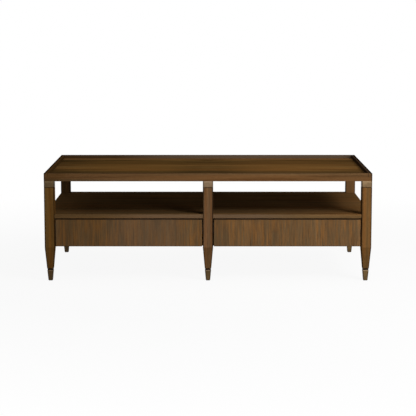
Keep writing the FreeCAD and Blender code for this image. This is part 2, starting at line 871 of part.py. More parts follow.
def drawer_front(name):
    """The shown front, with a finger groove along the back of its lower edge."""
    body = new_body(name)
    end = bay_width / 2 - dim.front_gap
    board = rectangle(new_sketch(body, "XZ_Plane"), -end, 0, end, dim.case_height - dim.front_gap)
    extrude("Pad", body, board, dim.front_thickness, reverse=True)
    bevel(body, lies_at("Y", 0), dim.front_bevel)
    groove = circle(new_sketch(body, "YZ_Plane"), dim.front_thickness, dim.finger_rise, dim.finger_radius)
    extrude("Pocket", body, groove, 2 * (end - dim.finger_margin), side="Symmetric")
    return body


for side, sign in sides.items():
    x = sign * bay_x
    screws, screw_holes = [], []
    for end, way in sides.items():
        screw_x = x + way * dim.screw_place_share * box_width
        bearing = front_back + dim.board_thickness
        shank_middle = (screw_x, bearing - dim.screw_length / 2, slide_level)
        head_middle = (screw_x, bearing + dim.head_thickness / 2, slide_level)
        shank = rod(f"{side}_{end}_shank", dim.screw_radius, dim.screw_length, shank_middle, "y")
        head = rod(f"{side}_{end}_head", dim.head_radius, dim.head_thickness, head_middle, "y")
        screws.append(joined(f"{side}_{end}_screw", [shank, head]))
        hole_length = dim.screw_length + 2 * dim.hole_play
        screw_holes.append(rod(f"{side}_{end}_screw_hole", dim.screw_radius + dim.hole_gap, hole_length,
                               shank_middle, "y"))
        edge_x = x + way * box_width / 2
        turn = half_turn if way > 0 else None
        keep(f"{side}_box_side_{end}",
             place(box_side(f"{side}_box_side_{end}"), edge_x, box_middle, box_base, turn))
    keep(f"{side}_drawer_screws", group(f"{side}_drawer_screws", screws))

    front = place(drawer_front(f"{side}_front_blank"), x, front_face, case_base)
    keep(f"{side}_drawer_front", cut_from(f"{side}_drawer_front", front, screw_holes))
    box_front = place(box_end(f"{side}_box_front_blank"), x, front_back, box_base)
    keep(f"{side}_box_front", cut_from(f"{side}_box_front", box_front, screw_holes))
    keep(f"{side}_box_back",
         place(box_end(f"{side}_box_back"), x, front_back + box_depth, box_base, half_turn))

    margin = groove_stop + dim.bottom_play
    half_bottom = dim.bottom_thickness / 2
    bottom_middle = box_base + dim.groove_rise + dim.bottom_gap + half_bottom
    keep(f"{side}_box_bottom",
         block_about(f"{side}_box_bottom", (x, box_middle, bottom_middle),
                     (box_width / 2 - margin, box_depth / 2 - margin, half_bottom)))


# Check every object, then write one file for each piece

doc.recompute()
for thing in doc.Objects:
    if any(flag in thing.State for flag in ("Invalid", "Error")):
        raise RuntimeError(f"{thing.Name} ({thing.Label}) did not build: {thing.State}")
for name, thing in nodes.items():
    if thing.Label != name:
        raise RuntimeError(f"{name} has the label {thing.Label}")
    if thing.Shape.isNull() or not thing.Shape.isValid() or not thing.Shape.Solids:
        raise RuntimeError(f"{name} has no valid solid")
os.makedirs("parts", exist_ok=True)
for name, thing in nodes.items():
    thing.Shape.exportStep(os.path.join("parts", name + ".step"))
print(len(nodes), "pieces written")
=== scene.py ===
import math

import bmesh
import bpy
from mathutils import Matrix, Vector


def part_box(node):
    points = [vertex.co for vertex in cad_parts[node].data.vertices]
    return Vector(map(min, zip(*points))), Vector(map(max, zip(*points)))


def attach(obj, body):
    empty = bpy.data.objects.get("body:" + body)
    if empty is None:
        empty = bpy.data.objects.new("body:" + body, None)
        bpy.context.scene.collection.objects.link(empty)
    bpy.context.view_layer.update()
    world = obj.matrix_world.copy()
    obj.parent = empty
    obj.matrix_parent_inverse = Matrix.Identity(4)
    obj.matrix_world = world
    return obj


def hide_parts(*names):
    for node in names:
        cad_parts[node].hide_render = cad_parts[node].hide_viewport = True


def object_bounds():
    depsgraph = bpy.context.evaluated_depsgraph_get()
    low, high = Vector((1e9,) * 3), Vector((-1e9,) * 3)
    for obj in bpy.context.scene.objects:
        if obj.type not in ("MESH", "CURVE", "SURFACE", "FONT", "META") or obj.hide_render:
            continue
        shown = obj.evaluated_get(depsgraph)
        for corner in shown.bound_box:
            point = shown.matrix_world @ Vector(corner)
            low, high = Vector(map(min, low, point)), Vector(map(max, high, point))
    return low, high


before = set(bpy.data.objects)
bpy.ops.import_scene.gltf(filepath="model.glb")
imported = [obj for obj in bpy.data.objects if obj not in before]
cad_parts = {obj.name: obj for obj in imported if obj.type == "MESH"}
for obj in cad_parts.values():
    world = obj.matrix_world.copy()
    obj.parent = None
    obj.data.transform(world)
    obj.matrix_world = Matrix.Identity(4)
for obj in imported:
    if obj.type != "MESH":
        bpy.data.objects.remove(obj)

print("frame loaded:", len(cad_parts), "pieces")
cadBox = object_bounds()
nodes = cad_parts


# Shader helpers: a Link is an output socket, and sums of Links become Math nodes.

class Link:
    def __init__(self, finish, socket):
        self.finish = finish
        self.socket = socket

    def maths(self, operation, first, second):
        return self.finish.node("ShaderNodeMath", {"operation": operation}, {0: first, 1: second})

    def __add__(self, other):
        return self.maths("ADD", self, other)

    def __radd__(self, other):
        return self.maths("ADD", other, self)

    def __sub__(self, other):
        return self.maths("SUBTRACT", self, other)

    def __rsub__(self, other):
        return self.maths("SUBTRACT", other, self)

    def __mul__(self, other):
        return self.maths("MULTIPLY", self, other)

    def __rmul__(self, other):
        return self.maths("MULTIPLY", other, self)

    def __abs__(self):
        return self.finish.node("ShaderNodeMath", {"operation": "ABSOLUTE"}, {0: self})


class Finish:
    # a material under construction, or a world
    def __init__(self, name, library=bpy.data.materials):
        self.owner = library.new(name)
        self.owner.use_nodes = True
        self.tree = self.owner.node_tree
        self.tree.nodes.clear()
        self.place = None

    def node(self, kind, settings=None, values=None, out=0):
        made = self.tree.nodes.new(kind)
        for name, setting in (settings or {}).items():
            if name == "stops":
                ramp = made.color_ramp.elements
                while len(ramp) < len(setting):
                    ramp.new(0.5)  # between the two that are there; all are placed below
                for element, (position, colour) in zip(ramp, setting):
                    element.position = position
                    element.color = colour
            else:
                setattr(made, name, setting)
        for name, value in (values or {}).items():
            if isinstance(value, Link):
                self.tree.links.new(value.socket, made.inputs[name])
            else:
                made.inputs[name].default_value = value
        return Link(self, made.outputs[out]) if made.outputs else None

    def axes(self):
        # the three object coordinates, in metres
        if self.place is None:
            spot = self.node("ShaderNodeTexCoord", out="Object")
            self.place = [self.node("ShaderNodeSeparateXYZ", None, {0: spot}, out) for out in range(3)]
        return self.place

    def vector(self, x, y, z):
        return self.node("ShaderNodeCombineXYZ", None, {0: x, 1: y, 2: z})

    def noise(self, vector, scale=1.0, detail=2.0, roughness=0.5, distortion=0.0):
        return self.node("ShaderNodeTexNoise", None, {
            "Vector": vector, "Scale": scale, "Detail": detail,
            "Roughness": roughness, "Distortion": distortion})

    def remap(self, value, low, high, lowest=0.0, highest=1.0):
        return self.node("ShaderNodeMapRange", {"clamp": True}, {
            "Value": value, "From Min": low, "From Max": high, "To Min": lowest, "To Max": highest})

    def between(self, value, low, high, soft=0.0001):
        # 1 between two values and 0 outside them, with edges as soft as they are asked to be
        rise = self.remap(value, low - soft, low + soft)
        return rise * self.remap(value, high - soft, high + soft, 1.0, 0.0)

    def least(self, first, second):
        return self.node("ShaderNodeMath", {"operation": "MINIMUM"}, {0: first, 1: second})

    def ramp(self, factor, stops):
        return self.node("ShaderNodeValToRGB", {"stops": stops}, {0: factor})

    def blend(self, factor, first, second, mode="MIX"):
        # a Mix node takes its colours at sockets 6 and 7, and gives one at output 2
        return self.node("ShaderNodeMix", {"data_type": "RGBA", "blend_type": mode},
                         {0: factor, 6: first, 7: second}, 2)

    def surface(self, bump=None, bumpDepth=0.0, **sockets):
        values = {name.replace("_", " "): value for name, value in sockets.items()}
        if bump is not None:
            values["Normal"] = self.node("ShaderNodeBump", None, {
                "Height": bump, "Distance": bumpDepth, "Strength": 1.0})
        shader = self.node("ShaderNodeBsdfPrincipled", None, values, "BSDF")
        self.node("ShaderNodeOutputMaterial", None, {"Surface": shader})
        return self.owner

    def backdropRays(self):
        # 1 for the rays that show the backdrop: seen directly, mirrored or through glass
        seen = 0
        for kind in ("Is Camera Ray", "Is Glossy Ray", "Is Transmission Ray"):
            ray = self.node("ShaderNodeLightPath", out=kind)
            seen = self.node("ShaderNodeMath", {"operation": "MAXIMUM"}, {0: seen, 1: ray})
        return seen


noiseMiddle = 0.5  # a noise swings about this value


def paint(red, green, blue):
    # a colour as a screen shows it, 0 to 255, made linear
    shown = [level / 255 for level in (red, green, blue)]
    linear = [level / 12.92 if level < 0.04045 else ((level + 0.055) / 1.055) ** 2.4 for level in shown]
    return (*linear, 1.0)


# Stains and painted light: the wood and metal are darker or lighter at some faces, edges and ends of the
# table, some as stains and some as painted shade, painted shadow, painted highlights and painted sheen

clear = 0.001  # how far a stain or a painted shade reaches past a face, into the air
skin = 0.0005  # how far a stain or a painted shade on a flat face reaches into the piece
shadow = (34, 23, 14)  # the colour of painted shadow in gaps and recesses


def heights(node):
    low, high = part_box(node)
    return low.z, high.z


def span(place, below, above):
    # from a little below a place to a little above it
    return place - below, place + above


def band(share, colour, **limits):
    # a stain, or a painted light or shade, with its limits along x, y and z, each with a third value where
    # its ends are soft
    return {"share": share, "colour": paint(*colour), **limits}


def paintStainOrLight(finish, colour, places, mark):
    # lays a stain or a painted light or shade where the point lies within its limits
    strength = mark["share"]
    for way, place in places.items():
        if way in mark:
            strength = finish.between(place, *mark[way]) * strength
    return finish.blend(strength, colour, mark["colour"])


tableEnd, tableBack = cadBox[1].x, cadBox[1].y
collarBottom, collarTop = heights("collar_front_left")
capTop = heights("ferrule_front_left")[1]
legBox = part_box("leg_front_right")
leg = {"x": (legBox[0].x + legBox[1].x) / 2, "y": abs(legBox[0].y + legBox[1].y) / 2,
       "half": (legBox[1].x - legBox[0].x) / 2, "footHalf": 0.009,  # half its width, above and at the foot
       "taper": 0.143,  # the height up to which it tapers
       "neck": 0.0082, "shadowLine": 0.0017}  # dark over the foot cap, and under the collar
outerLegs = (0.4, 1.0)  # the outer legs stand this far from the middle, and the centre ones nearer
# painted shade along the upright edges of the legs and the tray top, where their side faces fall into shade
edgeShade = {"width": 0.0038, "soft": 0.001, "share": 0.82, "colour": paint(26, 17, 9)}


def legDistances(finish, x, y, z):
    # how far a point lies beyond the faces of its leg, along x and along y: negative inside them
    slope = (leg["half"] - leg["footHalf"]) / leg["taper"]
    half = finish.least(leg["half"], leg["footHalf"] + z * slope)
    besideX = finish.least(abs(x), abs(abs(x) - leg["x"]))
    return besideX - half, abs(abs(y) - leg["y"]) - half


def topDistances(finish, x, y, z):
    # the same for the outer faces of the tray top
    return abs(x) - tableEnd, abs(y) - tableBack


def edgeShaded(finish, colour, beyondX, beyondY, edgeShading):
    # painted shade where a point is near an upright edge: it lies close to a face both along x and along y
    width, soft = edgeShading["width"], edgeShading["soft"]
    nearX = finish.remap(beyondX, -width - soft, -width + soft)
    nearY = finish.remap(beyondY, -width - soft, -width + soft)
    return finish.blend(nearX * nearY * edgeShading["share"], colour, edgeShading["colour"])


def lightByLeg(finish, colour, x, tones):
    # painted light and shade that differ from leg to leg: the left legs darker, the centre ones lighter
    left, centre, right = [(*tone, 1.0) for tone in tones]
    near, far = outerLegs
    tone = finish.blend(finish.between(x, -far, -near), centre, left)
    tone = finish.blend(finish.between(x, near, far), tone, right)
    return finish.blend(1.0, colour, tone, "MULTIPLY")


# Woods

def toneSet(deep, mid, light, warm=(126, 76, 32), cool=(82, 71, 50)):
    return {"deep": paint(*deep), "mid": paint(*mid), "light": paint(*light),
            "warm": paint(*warm), "cool": paint(*cool)}


def leafFigure(finish, colour, x, y, broad, hearts):
    # a pale heart in the middle of each veneer leaf, and dark rows before and behind it that fade beside it
    sway = broad - noiseMiddle
    beside = (abs(x) - hearts["x"]) * (1 / hearts["halfLength"])
    offHeart = finish.remap(beside * beside + sway * hearts["ragged"], 0.0, 1.0)
    drift = abs(y) + sway * hearts["drift"]
    rows = finish.between(drift, *hearts["rows"]) * finish.remap(offHeart, 0.0, 1.0, hearts["faint"], 1.0)
    colour = finish.blend(rows * hearts["rowShare"], colour, hearts["dark"])
    core = finish.remap(drift, hearts["rows"][0], 0.0) * (1 - offHeart)
    return finish.blend(core * hearts["coreShare"], colour, hearts["pale"])


def grainNoise(finish, grain, look, kind):
    # noise drawn out along the grain
    along, across, through = grain
    run, width = look[kind + "Run"], look[kind + "Across"]
    stretched = finish.vector(along * run, across * width, through * width)
    return finish.noise(stretched, 1.0, *look[kind + "Detail"])


def woodFinish(name, look):
    finish = Finish(name)
    x, y, z = finish.axes()
    along, across, through = {"x": (x, y, z), "y": (y, x, z), "z": (z, x, y)}[look["grain"]]
    if "leafMiddle" in look:  # two matched leaves, whose stripes bow away from the middle of each
        along = abs(along)
        bow = along - look["leafMiddle"]
        across = across + bow * bow * look["bow"] * across
    broad, stripes, fibres, pores = [grainNoise(finish, (along, across, through), look, kind)
                                     for kind in ("broad", "stripe", "fibre", "pore")]
    poreMask = finish.remap(pores, *look["poreLevels"])
    tones = look["tones"]
    grade = stripes * look["stripeShare"] + fibres * (1 - look["stripeShare"])
    stops = zip(look["toneStops"], (tones["deep"], tones["mid"], tones["light"]))
    colour = finish.ramp(grade, list(stops))
    width = look["tintAcross"]
    tintPlace = finish.vector(along * look["tintRun"], across * width, through * width + look["tintShift"])
    tint = finish.noise(tintPlace)
    for tone, limits in (("warm", look["warmLevels"]), ("cool", look["coolLevels"])):
        colour = finish.blend(finish.remap(tint, *limits, 0.0, look["tint"]), colour, tones[tone])
    shade = finish.remap(broad, *look["broadLevels"], *look["shade"])
    colour = finish.blend(1.0, colour, finish.vector(shade, shade, shade), "MULTIPLY")
    if "hearts" in look:
        colour = leafFigure(finish, colour, x, y, broad, look["hearts"])
    colour = finish.blend(poreMask * look["pores"], colour, tones["deep"])
    if "legLighting" in look:
        colour = lightByLeg(finish, colour, x, look["legLighting"])
    if "edges" in look:
        colour = edgeShaded(finish, colour, *look["edges"](finish, x, y, z), edgeShade)
    # stains, and painted light and shade, laid on one after another
    for mark in look["stainsAndPaintedLight"]:
        colour = paintStainOrLight(finish, colour, {"z": z, "x": x, "y": y}, mark)
    duller, shinier = look["roughSwing"]
    rough = finish.remap(grade, *look["roughLevels"], look["rough"] + duller, look["rough"] - shinier)
    height = fibres * look["fibreRelief"] - poreMask * look["pores"]
    return finish.surface(height, look["relief"], Base_Color=colour,
                          Roughness=rough + poreMask * look["poreRough"], Specular_IOR_Level=look["gloss"])


# Run and Across are a pattern's scales along and across the grain; Detail is its noise's detail,
# roughness and distortion; Levels are where a noise starts and ends to count.
walnut = {
    "grain": "x",
    "tones": toneSet((58, 40, 21), (95, 68, 41), (114, 83, 51)), "toneStops": (0.3, 0.48, 0.7),
    "broadRun": 0.9, "broadAcross": 9.0, "broadDetail": (3.0, 0.5, 0.4), "broadLevels": (0.35, 0.65),
    "shade": (0.88, 1.1),
    "stripeRun": 1.6, "stripeAcross": 55.0, "stripeDetail": (4.0, 0.6, 0.5), "stripeShare": 0.7,
    "fibreRun": 22.0, "fibreAcross": 420.0, "fibreDetail": (2.0, 0.6), "fibreRelief": 0.35,
    "poreRun": 60.0, "poreAcross": 1300.0, "poreDetail": (1.0, 0.5), "poreLevels": (0.62, 0.72),
    "pores": 0.5, "poreRough": 0.1,
    "tintRun": 0.7, "tintAcross": 26.0, "tintShift": 7.3, "tint": 0.35,
    "warmLevels": (0.5, 0.68), "coolLevels": (0.5, 0.34),
    "rough": 0.5, "roughLevels": (0.3, 0.7), "roughSwing": (0.06, 0.04), "gloss": 0.08, "relief": 0.00015,
    "stainsAndPaintedLight": [],
}

panelTop = heights("top_panel")[1]
panelFace = span(panelTop, skin, clear)
topLook = {
    **walnut, "tones": toneSet((47, 33, 13), (90, 66, 34), (124, 90, 48)), "gloss": 0.0,
    "leafMiddle": 0.33, "bow": 2.2, "stripeAcross": 34.0, "tintAcross": 12.0,
    "broadRun": 2.0, "broadAcross": 13.0, "broadDetail": (6.0, 0.62, 0.3), "shade": (0.5, 1.46),
    "hearts": {"x": 0.34, "halfLength": 0.26, "ragged": 1.6, "drift": 0.16, "rows": (0.15, 0.29, 0.025),
               "faint": 0.35, "dark": paint(50, 38, 16), "rowShare": 0.5, "pale": paint(120, 84, 42),
               "coreShare": 0.6},
    "stainsAndPaintedLight": [
        band(0.22, (126, 88, 46), z=panelFace, x=(0.1, 0.8, 0.15)),  # the right leaf, a little lighter
        band(0.18, (122, 88, 42), z=panelFace, x=(-0.6, -0.1, 0.1)),  # and the left one
        band(0.06, (56, 42, 22), z=panelFace, x=(-0.1, 0.1, 0.08)),  # darker where they meet
        band(0.65, (128, 88, 49), z=panelFace, y=(0.31, 0.4, 0.02)),  # painted sheen, pale along the back
        band(0.28, (62, 48, 28), z=panelFace, y=(-0.4, -0.18, 0.03)),  # dark towards the front
    ],
}

shelf = {"gap": 0.0016, "edge": 0.002}  # the painted shadow line over the drawers, and the depth of the front edge
shelfBottom, shelfTop = heights("shelf")
shelfFace = span(shelfTop, skin, clear)
shelfEdge = {"z": (shelfBottom + shelf["gap"], shelfTop - skin),
             "y": span(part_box("shelf")[0].y, clear, shelf["edge"])}
shelfLook = {
    **walnut, "tones": toneSet((62, 44, 24), (98, 72, 43), (115, 85, 52)), "gloss": 0.0,
    "stripeAcross": 40.0,
    "stainsAndPaintedLight": [
        # painted shadow along the lower edge, in the gap over the drawers
        band(1.0, shadow, z=span(shelfBottom, clear, shelf["gap"])),
        band(0.3, (60, 44, 24), **shelfEdge, x=(-0.7, -0.35, 0.1)),  # painted shade on the front edge, darker to the left
        band(0.18, (112, 98, 92), **shelfEdge, x=(-0.35, 0.3, 0.1)),  # painted sheen, greyer in the middle
        band(0.3, (132, 94, 52), z=shelfFace, x=(0.55, 0.7, 0.05)),  # painted light, lighter at both ends where light comes in at the sides
        band(0.2, (132, 98, 56), z=shelfFace, x=(-0.7, -0.55, 0.05)),
    ],
}

lip = {"rim": 0.0009, "corner": 0.0029, "lowerEdge": 0.0008,  # how deep its dark edges go
       "inset": 0.0002, "cornerSoft": 0.0005}
lipBottom, lipTop = heights("lip_front")
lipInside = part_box("lip_right")[0].x
lipMiddle = (lipInside + tableEnd) / 2
lipRim = span(lipTop, lip["rim"], clear)
lipCorner = span(lipTop, lip["corner"], clear)
lipInner = (panelTop - skin, lipTop - lip["rim"])
lipOuter = (lipBottom + lip["lowerEdge"], lipTop - lip["rim"])
backLipInner = {"z": lipInner, "y": span(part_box("lip_back")[0].y, clear, clear)}
frameLook = {
    **walnut, "tones": toneSet((62, 44, 26), (96, 71, 45), (113, 84, 54)), "gloss": 0.0,
    "stripeAcross": 70.0, "tint": 0.25, "tintAcross": 40.0, "edges": topDistances,
    "stainsAndPaintedLight": [
        band(0.75, (48, 34, 20), z=lipRim),
        band(0.8, (57, 43, 32), z=lipRim, x=(lipInside + lip["inset"], tableEnd + clear)),  # the right lip
        band(0.8, (84, 56, 24), z=lipRim, x=(-tableEnd - clear, -lipInside - lip["inset"])),
        band(0.9, (20, 13, 7), z=lipCorner, x=(lipMiddle, tableEnd + clear, lip["cornerSoft"])),
        band(0.9, (20, 13, 7), z=lipCorner, x=(-tableEnd - clear, -lipMiddle, lip["cornerSoft"])),
        band(0.6, (54, 40, 24), **backLipInner, x=(-0.8, -0.3, 0.12)),  # painted shade on the back lip's inner face, darker to the left
        # painted sheen on the rest of it, greyer
        band(0.65, (98, 84, 70), **backLipInner, x=(-0.3, 0.8, 0.12)),
        # painted shade on the inner faces of the left and right lips
        band(0.7, (40, 30, 12), z=lipInner, x=span(-lipInside, clear, clear)),
        band(0.85, (46, 34, 25), z=lipInner, x=span(lipInside, clear, clear)),
        band(0.6, (48, 30, 12), z=span(lipBottom, clear, lip["lowerEdge"])),
        band(0.3, (68, 44, 8), z=lipOuter, x=(-0.7, -0.6, 0.03)),  # painted shade: the left end is darker
    ],
}

taper = (capTop + leg["neck"], leg["taper"])
backLegFace = {"z": (0.2, 0.44, 0.04), "y": (0.3, 0.346, 0.006)}  # the face that looks to the front
legSide = tableEnd - skin
legLook = {
    **walnut, "grain": "z", "stripeAcross": 90.0, "tintAcross": 55.0, "gloss": 0.0, "edges": legDistances,
    # painted light and shade for the left, centre and right legs
    "legLighting": [(1.0, 0.95, 0.62), (1.35, 1.38, 1.6), (1.0, 1.0, 0.88)],
    "stainsAndPaintedLight": [
        band(1.0, shadow, z=span(capTop, clear, leg["neck"])),
        band(1.0, shadow, z=span(collarBottom, leg["shadowLine"], clear)),
        # painted shade on the tapers of the feet
        band(0.3, (70, 46, 18), z=taper),
        band(0.3, (66, 42, 12), z=taper, x=(-0.1, 0.1)),  # more painted shade on the centre legs' tapers
        band(0.5, (42, 32, 28), **backLegFace, x=(-legSide, -0.6)),  # painted shade, darker on the left leg
        band(0.6, (112, 80, 50), **backLegFace, x=(0.6, legSide)),  # and painted light on the right one
    ],
}

drawerLook = {
    **walnut, "grain": "z",
    "tones": {**walnut["tones"], "mid": paint(95, 69, 40), "warm": paint(134, 86, 34)},
    "stripeRun": 9.0, "stripeAcross": 250.0, "stripeShare": 0.65,
    "tintRun": 12.0, "tintAcross": 160.0, "tint": 0.42, "broadAcross": 30.0, "shade": (0.85, 1.13),
}
front = {"upperEdge": 0.0012, "lowerEdge": 0.0031, "face": 0.0025}  # how deep its marks go: painted shadow, a dark lower edge and painted light and shade on the face
frontBottom, frontTop = heights("left_drawer_front")
frontFace = {"y": span(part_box("left_drawer_front")[0].y, clear, front["face"])}
frontLook = {
    **drawerLook,
    "stainsAndPaintedLight": [
        # painted shadow along the top edge, in the gap under the shelf
        band(1.0, shadow, **frontFace, z=span(frontTop, front["upperEdge"], clear)),
        band(0.55, (58, 38, 18), **frontFace, z=span(frontBottom, clear, front["lowerEdge"])),
        band(0.3, (67, 45, 17), **frontFace, x=(-0.65, -0.44, 0.04)),  # painted shade at the left front's dark end
        band(0.22, (108, 87, 69), **frontFace, x=(-0.4, -0.12, 0.04)),  # and painted sheen on the rest of it, lighter and greyer
    ],
}

maple = {
    **walnut, "stripeAcross": 90.0, "tint": 0.4, "shade": (0.92, 1.06), "pores": 0.15, "gloss": 0.3,
    "tones": toneSet((168, 138, 98), (206, 180, 140), (222, 200, 162), (212, 180, 132), (196, 176, 144)),
}

finishes = {
    "topVeneer": woodFinish("topVeneer", topLook),
    "shelfVeneer": woodFinish("shelfVeneer", shelfLook),
    "frameWoodX": woodFinish("frameWoodX", frameLook),
    "frameWoodY": woodFinish("frameWoodY", {**frameLook, "grain": "y"}),
    "legWood": woodFinish("legWood", legLook),
    "drawerVeneer": woodFinish("drawerVeneer", frontLook),
    "sideVeneer": woodFinish("sideVeneer", drawerLook),
    "boxWoodX": woodFinish("boxWoodX", maple),
    "boxWoodY": woodFinish("boxWoodY", {**maple, "grain": "y"}),
    "cleatWood": woodFinish("cleatWood", {**maple, "grain": "y", "stripeAcross": 60.0}),
}


# Metals and plastic

# painted shade along the upright edges of the collars and foot caps
metalEdgeShade = {**edgeShade, "share": 0.5}
metalGrain = {
    "along": 6, "across": 900, "even": 260,  # scales of brushing, and of the grain of a metal without it
    "patches": (38.0, 4.0, 0.6), "dullLevels": (0.35, 0.68),
    "roughLevels": (0.3, 0.7), "patchRough": (-0.05, 0.09), "brushRough": 0.12,
}


def metalFinish(name, look):
    finish = Finish(name)
    x, y, z = finish.axes()
    scales = [metalGrain["along" if way == look["brush"] else "across"] for way in "xyz"]
    if look["brush"] == "none":
        scales = [metalGrain["even"]] * len(scales)
    brushed = finish.noise(finish.vector(*[axis * scale for axis, scale in zip((x, y, z), scales)]))
    patches = finish.noise(finish.vector(x, y, z), *metalGrain["patches"])
    colour = finish.blend(finish.remap(patches, *metalGrain["dullLevels"]), look["bright"], look["dull"])
    if "highlight" in look:  # a painted highlight along the upper edge
        rim = span(look["top"], look["rim"], clear)
        colour = finish.blend(finish.between(z, *rim), colour, look["highlight"])
    if "legLighting" in look:
        colour = lightByLeg(finish, colour, x, look["legLighting"])
        colour = edgeShaded(finish, colour, *legDistances(finish, x, y, z), metalEdgeShade)
    swing = finish.remap(patches, *metalGrain["roughLevels"], *metalGrain["patchRough"])
    rough = look["rough"] + swing + (brushed - noiseMiddle) * metalGrain["brushRough"]
    return finish.surface(brushed, look["bump"], Base_Color=colour, Roughness=rough, Metallic=look["metal"],
                          Specular_IOR_Level=look["gloss"])


# the bright colour on the collar's upper edge is a painted highlight
bronze = {"bright": paint(138, 115, 88), "dull": paint(112, 91, 66), "highlight": paint(172, 148, 120),
          "metal": 0.35, "gloss": 0.15, "rough": 0.46, "bump": 0.00002, "brush": "z",
          "top": collarTop, "rim": 0.0035,
          # painted light and shade for the left, centre and right collars
          "legLighting": [(0.48, 0.46, 0.36), (0.84, 0.82, 0.82), (0.7, 0.66, 0.56)]}
darkBronze = {**bronze, "bright": paint(104, 82, 50), "dull": paint(80, 62, 36),
              # the bright colour on the foot cap's upper edge is a painted highlight
              "highlight": paint(146, 124, 100), "top": capTop, "rim": 0.0025,
              # painted light and shade for the left, centre and right foot caps
              "legLighting": [(0.62, 0.58, 0.5), (0.8, 0.78, 0.78), (1.1, 1.08, 1.0)]}
steel = {"bright": paint(196, 198, 200), "dull": paint(168, 171, 176), "metal": 1.0, "gloss": 0.5,
         "rough": 0.34, "bump": 0.00001, "brush": "y"}
blackZinc = {**steel, "bright": paint(62, 63, 66), "dull": paint(44, 45, 48), "rough": 0.38}
cageSteel = {**steel, "bright": paint(214, 214, 212), "rough": 0.22}
ballSteel = {**steel, "bright": paint(226, 226, 228), "rough": 0.12, "bump": 0.0, "brush": "none"}
zincSteel = {**steel, "rough": 0.38, "brush": "none"}
for name, look in (("collarBronze", bronze), ("ferruleBronze", darkBronze), ("slideSteel", blackZinc),
                   ("cageSteel", cageSteel), ("ballSteel", ballSteel), ("zincSteel", zincSteel)):
    finishes[name] = metalFinish(name, look)

nylon = {"colour": paint(34, 32, 30), "fleck": paint(52, 50, 48), "grit": 1400.0, "relief": 0.00004,
         "rough": (0.5, 0.7)}


def plasticFinish(name, look):
    finish = Finish(name)
    x, y, z = finish.axes()
    grit = finish.noise(finish.vector(x, y, z), look["grit"])
    colour = finish.blend(grit, look["colour"], look["fleck"])
    return finish.surface(grit, look["relief"], Base_Color=colour,
                          Roughness=finish.remap(grit, 0, 1, *look["rough"]))


finishes["padPlastic"] = plasticFinish("padPlastic", nylon)

wearers = {
    "topVeneer": ["top_panel"],
    "shelfVeneer": ["shelf"],
    "frameWoodX": ["lip_front", "lip_back", "front_rail_", "dust_panels"],
    "frameWoodY": ["lip_left", "lip_right"],
    "legWood": ["leg_"],
    "drawerVeneer": ["left_drawer_front", "right_drawer_front"],
    "sideVeneer": ["case_"],
    "boxWoodX": ["left_box_front", "right_box_front", "left_box_back", "right_box_back",
                 "left_box_bottom", "right_box_bottom"],
    "boxWoodY": ["left_box_side_", "right_box_side_"],
    "cleatWood": ["left_bay_cleats", "right_bay_cleats"],
    "collarBronze": ["collar_"],
    "ferruleBronze": ["ferrule_"],
    "slideSteel": ["left_slide_", "right_slide_"],
    "cageSteel": ["left_inner_ball_cages", "left_outer_ball_cages", "right_inner_ball_cages",
                  "right_outer_ball_cages"],
    "zincSteel": ["top_studs", "left_drawer_screws", "right_drawer_screws"],
    "padPlastic": ["foot_pads"],
}
dressed = set()
for finishName, starts in wearers.items():
    for name, piece in nodes.items():
        if name.startswith(tuple(starts)):
            piece.data.materials.clear()
            piece.data.materials.append(finishes[finishName])
            dressed.add(name)
print("finishes given to", len(dressed), "of", len(nodes), "pieces; bare:", sorted(set(nodes) - dressed))


# Small parts of the slides and drawers

sharpAngle = math.radians(35)  # smooth shading stops at edges that turn by more than this


def newPiece(name, shape, finishName, body):
    mesh = bpy.data.meshes.new(name)
    shape.to_mesh(mesh)
    shape.free()
    mesh.materials.append(finishes[finishName])
    mesh.polygons.foreach_set("use_smooth", [True] * len(mesh.polygons))
    mesh.set_sharp_from_angle(angle=sharpAngle)
    piece = bpy.data.objects.new(name, mesh)
    bpy.context.scene.collection.objects.link(piece)
    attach(piece, body)
    return piece


def repeat(pattern, places):
    # one mesh that holds the pattern at each of the places, which are matrices
    source = bpy.data.meshes.new("pattern")
    pattern.to_mesh(source)
    pattern.free()
    whole = bmesh.new()
    for place in places:
        before = len(whole.verts)
        whole.from_mesh(source)
        whole.verts.ensure_lookup_table()
        bmesh.ops.transform(whole, matrix=place, verts=whole.verts[before:])
    bpy.data.meshes.remove(source)
    return whole


def facing(way, spot):
    # turns a pattern's +Z towards +X or -X and moves it to the spot
    return Matrix.Translation(spot) @ Matrix.Rotation(math.radians(90 * way), 4, "Y")


screw = {"radius": 0.0032, "rise": 0.0011, "easing": 0.0004, "easingSteps": 3, "sides": 24,
         "crossWide": 0.0019, "crossNarrow": 0.0008, "crossDepth": 0.0007,
         "armShare": 0.55, "floorShare": 0.7}  # the width of the cross's arms, and of its floor


